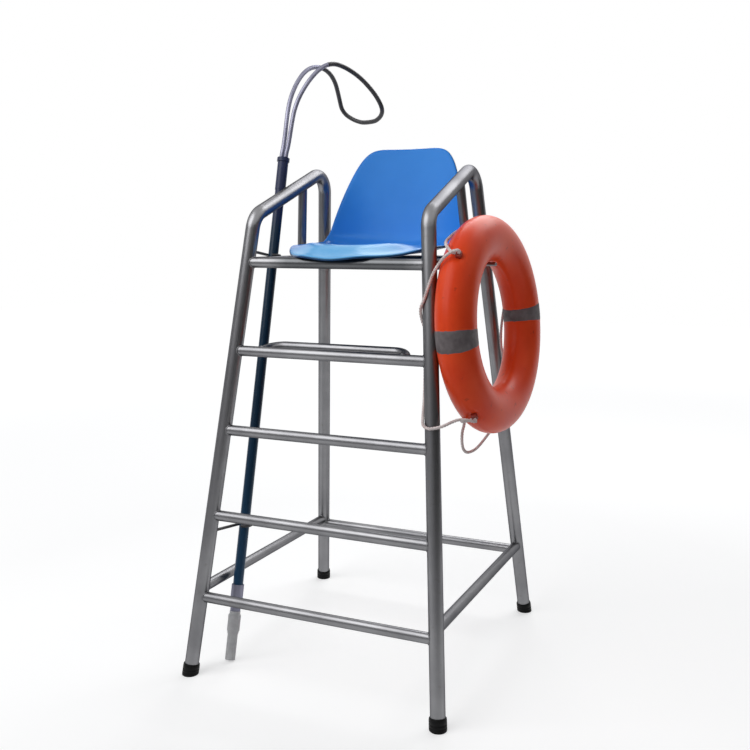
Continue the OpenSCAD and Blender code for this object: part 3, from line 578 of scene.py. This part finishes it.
class Board:
    """The nodes of one material. add() makes any node, and put() returns the wire from it."""

    def __init__(self, name):
        self.material = bpy.data.materials.new(name)
        self.material.use_nodes = True
        self.tree = self.material.node_tree
        self.tree.nodes.clear()

    def add(self, kind, settings=None, values=None):
        node = self.tree.nodes.new("ShaderNode" + kind)
        for key, value in (settings or {}).items():
            setattr(node, key, value)
        for key, value in (values or {}).items():
            if isinstance(value, Wire):
                self.tree.links.new(value.socket, node.inputs[key])
            else:
                node.inputs[key].default_value = value
        return node

    def put(self, kind, settings=None, values=None, out=0):
        return Wire(self, self.add(kind, settings, values).outputs[out])

    def maths(self, operation, a, b):
        return self.put("Math", {"operation": operation}, {0: a, 1: b})

    def noise(self, scale, detail=2.0):
        return self.put("TexNoise", None, {"Vector": self.put("TexCoord", out=3),
                                           "Scale": scale, "Detail": detail})

    def height(self, axis=2):
        """The Object coordinate along one axis: 0 across, 1 to the rear, 2 up."""
        return self.put("SeparateXYZ", None, {0: self.put("TexCoord", out=3)}, out=axis)

    def span(self, value, low, high):
        """value from low..high carried over to 0..1, and clamped there."""
        return self.put("MapRange", {"clamp": True}, {
            "Value": value, "From Min": low, "From Max": high})

    def mix(self, share, a, b):
        """Colour a at share 0, colour b at share 1."""
        return self.put("Mix", {"data_type": "RGBA"}, {0: share, 6: a, 7: b}, out=2)

    def bump(self, height, distance, strength=1.0):
        return self.put("Bump", None, {"Height": height, "Distance": distance,
                                       "Strength": strength})

    def close(self, **sockets):
        """Principled surface with the given sockets, by their names with _ for a space."""
        values = {key.replace("_", " "): value for key, value in sockets.items()}
        surface = self.put("BsdfPrincipled", None, values)
        self.add("OutputMaterial", None, {"Surface": surface})
        return self.material


def rgb(r, g, b):
    return (r, g, b, 1.0)


# ---------------------------------------------------------------- materials
def polished_steel():
    """Stainless tube with soft reflections, faint drawing marks, and a dull film here and there.
    On the seat bar under the seat's front edge a painted shade darkens the steel."""
    b = Board("polished_steel")
    film = b.noise(7.0, 4.0)
    grain = b.noise(420.0)
    specks = b.span(b.noise(60.0, 3.0), 0.62, 0.75)
    tone = b.mix(b.span(film, 0.35, 0.7), rgb(0.27, 0.27, 0.28), rgb(0.21, 0.21, 0.22))
    tone = b.mix(specks * 0.25, tone, rgb(0.16, 0.14, 0.13))
    # Painted shade: darker steel on the seat bar under the seat's front edge, standing for the seat's
    # shadow and its dark reflection there.
    painted_seat_shade = (b.span(b.height(2), SEAT_BAR_Z - 0.040, SEAT_BAR_Z - 0.018)
            * b.span(b.height(2), SEAT_BAR_Z + 0.040, SEAT_BAR_Z + 0.025)
            * b.span(b.height(1), -0.22, -0.26)
            * b.span(b.height(0), -0.30, -0.22) * b.span(b.height(0), 0.30, 0.22))
    tone = b.mix(painted_seat_shade * 0.8, tone, rgb(0.09, 0.095, 0.10))
    rough = 0.28 + b.span(film, 0.3, 0.75) * 0.07 + grain * 0.05
    return b.close(Base_Color=tone, Metallic=1.0, Roughness=rough,
                   Specular_Tint=rgb(0.25, 0.25, 0.26), Normal=b.bump(grain, 0.00006, 0.35))


def black_rubber():
    b = Board("black_rubber")
    grain = b.noise(900.0, 3.0)
    dust = b.span(b.noise(25.0, 4.0), 0.5, 0.8)
    tone = b.mix(dust, rgb(0.004, 0.004, 0.0045), rgb(0.012, 0.0115, 0.011))
    return b.close(Base_Color=tone, Roughness=0.5 + dust * 0.2, Specular_IOR_Level=0.15,
                   Normal=b.bump(grain, 0.0002, 0.4))


def blue_shell():
    """Moulded plastic with a fine mould texture, its gloss uneven from use. A painted highlight lightens
    the front crest, and painted shade darkens the rim's underside.
    """
    b = Board("blue_shell")
    cloud = b.noise(5.0, 3.0)
    grain = b.noise(700.0)
    under = b.put("Attribute", {"attribute_name": "under_rim"}, out=2)
    # Painted highlight: a pale cyan band over the front crest, standing for the light the crest mirrors.
    painted_crest_highlight = (b.span(b.height(1) + cloud * 0.05, -0.10, -0.22)
            * b.span(b.height(2), SEAT_TOP_Z + 0.075, SEAT_TOP_Z + 0.035))
    tone = b.mix(b.span(cloud, 0.3, 0.7), rgb(0.020, 0.23, 0.80), rgb(0.028, 0.26, 0.85))
    tone = b.mix(painted_crest_highlight * 0.8, tone, rgb(0.15, 0.52, 0.88))
    # Painted shade: the rim's underside is darkened to navy.
    tone = b.mix(under, tone, rgb(0.004, 0.045, 0.16))
    return b.close(Base_Color=tone, Roughness=0.20 + cloud * 0.10, Specular_IOR_Level=0.24,
                   Specular_Tint=rgb(0.6, 1.0, 0.9), Normal=b.bump(grain, 0.00006, 0.25))


def orange_shell():
    """Orange-red ring: a satin moulding with a mottled skin and a few dark scuffs."""
    b = Board("orange_shell")
    cloud = b.noise(9.0, 4.0)
    grain = b.noise(500.0, 3.0)
    scuff = b.span(b.noise(38.0, 5.0), 0.66, 0.72)
    tone = b.mix(b.span(cloud, 0.3, 0.75), rgb(0.86, 0.058, 0.010), rgb(0.95, 0.088, 0.018))
    tone = b.mix(scuff * 0.35, tone, rgb(0.30, 0.02, 0.008))
    return b.close(Base_Color=tone, Roughness=0.28 + cloud * 0.12, Specular_IOR_Level=0.18,
                   Normal=b.bump(grain, 0.0002, 0.3))


def dark_red():
    b = Board("dark_red")
    grain = b.noise(300.0, 3.0)
    return b.close(Base_Color=b.mix(grain, rgb(0.22, 0.02, 0.01), rgb(0.40, 0.035, 0.015)),
                   Roughness=0.4 + grain * 0.1)


def grey_tape():
    b = Board("grey_tape")
    beads = b.put("TexVoronoi", None, {"Vector": b.put("TexCoord", out=3), "Scale": 900.0})
    stain = b.noise(30.0, 4.0)
    tone = b.mix(b.span(stain, 0.35, 0.7), rgb(0.19, 0.165, 0.17), rgb(0.105, 0.088, 0.09))
    return b.close(Base_Color=tone, Roughness=0.5 + stain * 0.15, Specular_IOR_Level=0.3,
                   Normal=b.bump(beads, 0.0002, 0.5))


def pale_rope():
    b = Board("pale_rope")
    fibre = b.noise(900.0, 3.0)
    stain = b.noise(28.0, 4.0)
    tone = b.mix(b.span(stain, 0.35, 0.7), rgb(0.92, 0.82, 0.80), rgb(0.72, 0.59, 0.57))
    return b.close(Base_Color=tone, Roughness=0.8 + fibre * 0.1, Normal=b.bump(fibre, 0.0006, 0.6))


def navy_paint():
    """Painted tube: darkest high up, bluer low down and violet at the sleeve, with small chips."""
    b = Board("navy_paint")
    cloud = b.noise(12.0, 4.0)
    chips = b.span(b.noise(110.0, 3.0), 0.70, 0.74)
    low = b.span(b.height() + cloud * 0.3, 0.45, 1.05)
    tone = b.mix(low, rgb(0.010, 0.060, 0.135), rgb(0.001, 0.022, 0.052))
    tone = b.mix(b.span(b.height(), 1.60, 1.68) * 0.7, tone, rgb(0.022, 0.026, 0.090))
    tone = b.mix(chips, tone, rgb(0.06, 0.07, 0.08))
    return b.close(Base_Color=tone, Roughness=0.26 + cloud * 0.10, Specular_IOR_Level=0.3)


def grey_grip():
    b = Board("grey_grip")
    grain = b.noise(600.0, 3.0)
    stain = b.noise(40.0, 3.0)
    tone = b.mix(b.span(stain, 0.3, 0.7), rgb(0.72, 0.72, 0.73), rgb(0.58, 0.58, 0.59))
    return b.close(Base_Color=tone, Roughness=0.6 + grain * 0.1, Specular_IOR_Level=0.3,
                   Normal=b.bump(grain, 0.0003, 0.4))


def satin_alloy():
    b = Board("satin_alloy")
    film = b.noise(14.0, 4.0)
    grain = b.noise(500.0)
    tone = b.mix(b.span(film, 0.35, 0.7), rgb(0.30, 0.30, 0.38), rgb(0.22, 0.22, 0.285))
    return b.close(Base_Color=tone, Metallic=1.0, Roughness=0.42 + grain * 0.06,
                   Specular_Tint=rgb(0.3, 0.3, 0.33), Normal=b.bump(grain, 0.00006, 0.3))


def coated_wire():
    b = Board("coated_wire")
    grain = b.noise(300.0, 3.0)
    tone = b.mix(grain, rgb(0.03, 0.03, 0.034), rgb(0.075, 0.072, 0.074))
    return b.close(Base_Color=tone, Metallic=0.3, Roughness=0.38 + grain * 0.1)


FINISH = {
    "steel": polished_steel(), "rubber": black_rubber(), "seat": blue_shell(),
    "ring": orange_shell(), "clip": dark_red(), "tape": grey_tape(), "rope": pale_rope(),
    "pole": navy_paint(), "grip": grey_grip(), "alloy": satin_alloy(), "hook": coated_wire(),
}
SLOT_OF = {part["node"]: part["material_slot"] for part in frame["record"]["subparts"]}
for node, solid in frame["nodes"].items():
    for entry in solid.material_slots:
        entry.material = FINISH[SLOT_OF[node]]
for piece, slot_name in dressed:
    piece.data.materials.append(FINISH[slot_name])


# ---------------------------------------------------------------- stage, light
bpy.context.scene.view_settings.view_transform = "Standard"
FLOOR_REACH, FLOOR_Z = 14.0, -0.0005
FLOOR_NEAR, FLOOR_FAR = 0.52, 0.90
ROOM_R, ROOM_HEIGHT, ROOM_SPAN, ROOM_STEPS = 4.6, 3.3, math.radians(215), 49
SKY_LEVEL, WHITE_LEVEL = 0.24, 1.0


def stage_piece(name, points, material):
    """A part of the set round the chair, from a grid of points."""
    sheet = mesh_piece(name, [skin(points, close_columns=False)])
    sheet.data.materials.append(material)
    return sheet


def pale_floor():
    """Matt floor; towards the camera and in reflections a glow tops it up to white all over."""
    b = Board("pale_floor")
    path = b.add("LightPath")
    seen = sum(Wire(b, path.outputs[kind]) for kind in
               ("Is Camera Ray", "Is Glossy Ray", "Is Transmission Ray"))
    away = b.put("VectorMath", {"operation": "LENGTH"}, {0: b.put("TexCoord", out=3)}, out=1)
    tone = b.mix(b.span(away, 2.0, 8.0), rgb(FLOOR_NEAR, FLOOR_NEAR, FLOOR_NEAR),
                 rgb(FLOOR_FAR, FLOOR_FAR, FLOOR_FAR))
    matt = b.put("BsdfDiffuse", None, {"Color": rgb(0.60, 0.60, 0.60)})
    lit = b.put("AddShader", None, {0: matt, 1: b.put("Emission", None, {"Color": tone})})
    b.add("OutputMaterial", None, {"Surface": b.put("MixShader", None, {0: seen, 1: matt, 2: lit})})
    return b.material


def dim_room():
    """A glowing sheet behind the camera, seen only in reflections: a painted reflection of a dim studio,
    darker to its right, as the steel mirrors it.
    """
    b = Board("dim_room")
    across = b.height(0) * math.cos(EYE_TURN[2]) + b.height(1) * math.sin(EYE_TURN[2])
    tone = b.mix(b.span(across + b.noise(0.35, 3.0) * 2.0, -2.0, 3.0), rgb(0.33, 0.33, 0.34),
                 rgb(0.05, 0.05, 0.05))
    b.add("OutputMaterial", None, {"Surface": b.put("Emission", None, {"Color": tone})})
    return b.material


corner = np.array([-FLOOR_REACH, FLOOR_REACH])
flat = np.stack(np.broadcast_arrays(corner[:, None], corner[None], FLOOR_Z), -1)
stage_piece("floor", flat, pale_floor())
bearing = EYE_TURN[2] - math.pi / 2 + np.linspace(-0.5, 0.5, ROOM_STEPS)[None] * ROOM_SPAN
wall = np.stack(np.broadcast_arrays(ROOM_R * np.cos(bearing), ROOM_R * np.sin(bearing),
                                    np.array([[0.0], [ROOM_HEIGHT]])), -1)
room = stage_piece("room", wall, dim_room())
room.visible_camera = room.visible_diffuse = room.visible_shadow = False

world = bpy.data.worlds.new("studio")
world.use_nodes = True
bpy.context.scene.world = world
tree = world.node_tree
tree.nodes.clear()


def world_node(kind, values=None, links=(), **settings):
    node = tree.nodes.new("ShaderNode" + kind)
    for key, value in settings.items():
        setattr(node, key, value)
    for key, value in (values or {}).items():
        node.inputs[key].default_value = value
    for key, socket in links:
        tree.links.new(socket, node.inputs[key])
    return node


path = world_node("LightPath").outputs
seen = world_node("Math", None, [(0, path["Is Camera Ray"]), (1, path["Is Glossy Ray"])],
                  operation="MAXIMUM")
seen = world_node("Math", None, [(0, seen.outputs[0]), (1, path["Is Transmission Ray"])],
                  operation="MAXIMUM")
sky = world_node("Background", {"Color": rgb(0.93, 0.96, 1.0), "Strength": SKY_LEVEL})
white = world_node("Background", {"Color": rgb(1, 1, 1), "Strength": WHITE_LEVEL})
blend = world_node("MixShader", None, [(0, seen.outputs[0]), (1, sky.outputs[0]),
                                       (2, white.outputs[0])])
world_node("OutputWorld", None, [(0, blend.outputs[0])])


def lamp(name, place, aim, size, power, tone=(1.0, 1.0, 1.0)):
    """A soft rectangular lamp that faces a point."""
    light = bpy.data.lights.new(name, "AREA")
    light.shape, light.size, light.size_y = "RECTANGLE", size[0], size[1]
    light.energy, light.color = power, tone
    source = bpy.data.objects.new(name, light)
    source.location = place
    way = np.array(aim) - np.array(place)
    yaw = math.atan2(way[1], way[0]) - math.pi / 2
    pitch = math.atan2(way[2], math.hypot(way[0], way[1]))
    source.rotation_euler = (math.pi / 2 + pitch, 0.0, yaw)
    bpy.context.collection.objects.link(source)
    return source


lamp("key", (-1.8, -2.8, 4.1), (0, -0.1, 1.2), (3.9, 3.9), 114)
lamp("back", (0.3, 3.2, 4.6), (0, 0, 1.6), (4.4, 2.6), 134)
